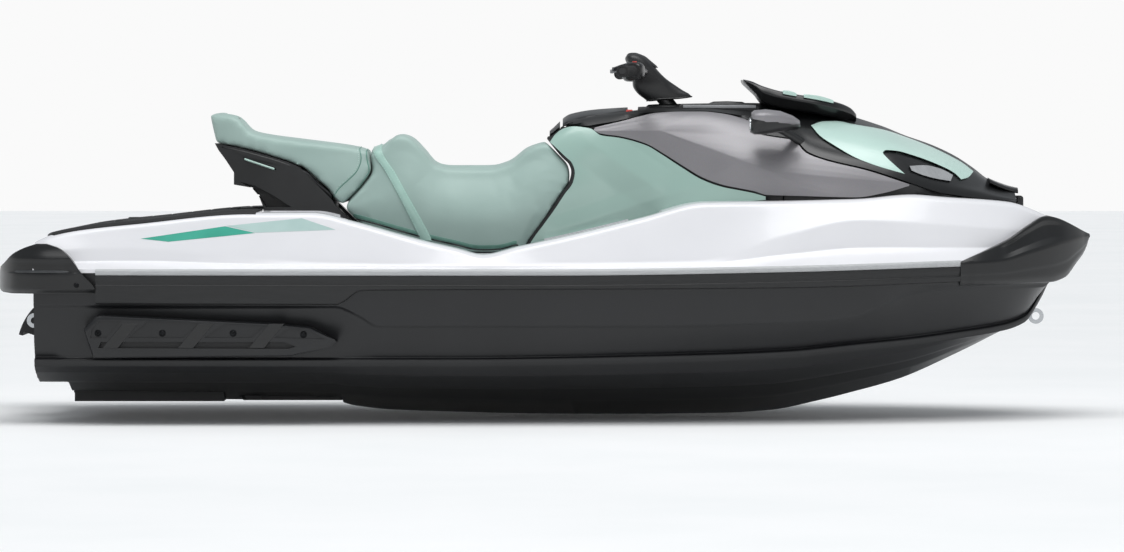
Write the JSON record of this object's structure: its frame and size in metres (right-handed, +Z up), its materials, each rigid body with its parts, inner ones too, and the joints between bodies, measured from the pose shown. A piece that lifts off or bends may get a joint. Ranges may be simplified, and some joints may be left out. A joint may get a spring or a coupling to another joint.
{
  "type": "personal watercraft",
  "caption": "Sit-on personal watercraft: decked V hull with jet pump, straddle seat for two, handlebar, lifting front hood, glovebox lid, steering nozzle and reverse bucket.",
  "frame": {"origin": "on the centreline at the resting waterline, amidships, 230 mm above the lowest point of the keel", "axes": "+X towards the bow, +Y to port, +Z up"},
  "size_m": [3.314, 1.252, 1.1129],
  "materials": {
    "hull_black": "moulded polypropylene hull, satin",
    "deck_white": "glossy white moulded deck",
    "rail_black": "soft bumper profile",
    "strip_grey": "pale strip",
    "bumper_black": "textured moulded plastic",
    "mat_black": "closed-cell foam mat",
    "moulded_black": "textured moulded plastic",
    "mint_panel": "painted panel",
    "grey_panel": "metallic grey panel",
    "gauge_black": "glossy display cover",
    "stainless": "polished stainless steel",
    "cast_grey": "coated casting",
    "pump_alloy": "cast aluminium",
    "engine_grey": "plain block",
    "bar_black": "powder coat",
    "grip_rubber": "ribbed rubber",
    "mint_hood": "painted panel",
    "light_grey": "grille insert",
    "seat_mint": "coated vinyl over foam",
    "strap_mint": "webbing strap"
  },
  "bodies": {
    "craft": {"lower_hull": "hull_black", "deck": "deck_white", "rub_rails": "rail_black", "rail_strips": "strip_grey", "bow_bumper": "bumper_black", "stern_bumpers": "bumper_black", "rear_mat": "mat_black", "footwell_mats": "mat_black", "accessory_anchors": "bumper_black", "seat_pedestal": "moulded_black", "side_covers": "mint_panel", "console_panels": "grey_panel", "console": "moulded_black", "gauge": "gauge_black", "mirrors": "moulded_black", "storage_bin": "moulded_black", "sponsons": "moulded_black", "bow_eye": "stainless", "stern_eyes": "stainless", "tow_eye": "stainless", "ride_plate": "cast_grey", "intake_grate": "cast_grey", "pump_housing": "pump_alloy", "pump_stator": "pump_alloy", "venturi": "pump_alloy", "engine": "engine_grey", "drain_plugs": "moulded_black"},
    "steering": {"column": "moulded_black", "handlebar": "bar_black", "grips": "grip_rubber", "bar_cover": "moulded_black", "switch_pods": "moulded_black", "levers": "bar_black"},
    "jet_nozzle": {"nozzle": "cast_grey"},
    "bucket": {"reverse_bucket": "cast_grey"},
    "rotor": {"impeller": "stainless", "drive_shaft": "stainless"},
    "front_hood": {"hood": "moulded_black", "hood_panel": "mint_hood", "hood_vents": "light_grey", "deflector": "moulded_black"},
    "glovebox": {"glovebox_lid": "moulded_black"},
    "saddle": {"driver_seat": "seat_mint", "passenger_seat": "seat_mint", "seat_strap": "strap_mint", "tail_grip": "moulded_black"}
  },
  "joints": [
    {"name": "bars_turn", "type": "hinge", "parent": "craft", "child": "steering", "pos_m": [0.372, 0, 0.71], "axis": [-0.6157, 0, 0.788], "range_deg": [-25, 25]},
    {"name": "nozzle_steer", "type": "hinge", "parent": "craft", "child": "jet_nozzle", "pos_m": [-1.45, 0, -0.038], "axis": [0, 0, 1], "range_deg": [-22, 22]},
    {"name": "bucket_drop", "type": "hinge", "parent": "craft", "child": "bucket", "pos_m": [-1.45, 0, -0.025], "axis": [0, -1, 0], "range_deg": [0, 50]},
    {"name": "impeller_spin", "type": "hinge", "parent": "craft", "child": "rotor", "pos_m": [-1.2, 0, -0.038], "axis": [1, 0, 0], "continuous": true},
    {"name": "hood_hinge", "type": "hinge", "parent": "craft", "child": "front_hood", "pos_m": [1.442, 0, 0.434], "axis": [0, 1, 0], "range_deg": [0, 45]},
    {"name": "glovebox_hinge", "type": "hinge", "parent": "craft", "child": "glovebox", "pos_m": [0.25, 0, 0.666], "axis": [0, 1, 0], "range_deg": [0, 40]},
    {"name": "seat_lift", "type": "slide", "parent": "craft", "child": "saddle", "axis": [-0.7071, 0, 0.7071], "range_m": [0, 0.3]}
  ],
  "couplings": [
    {"joint": "nozzle_steer", "follows": "bars_turn", "ratio": -0.8}
  ]
}
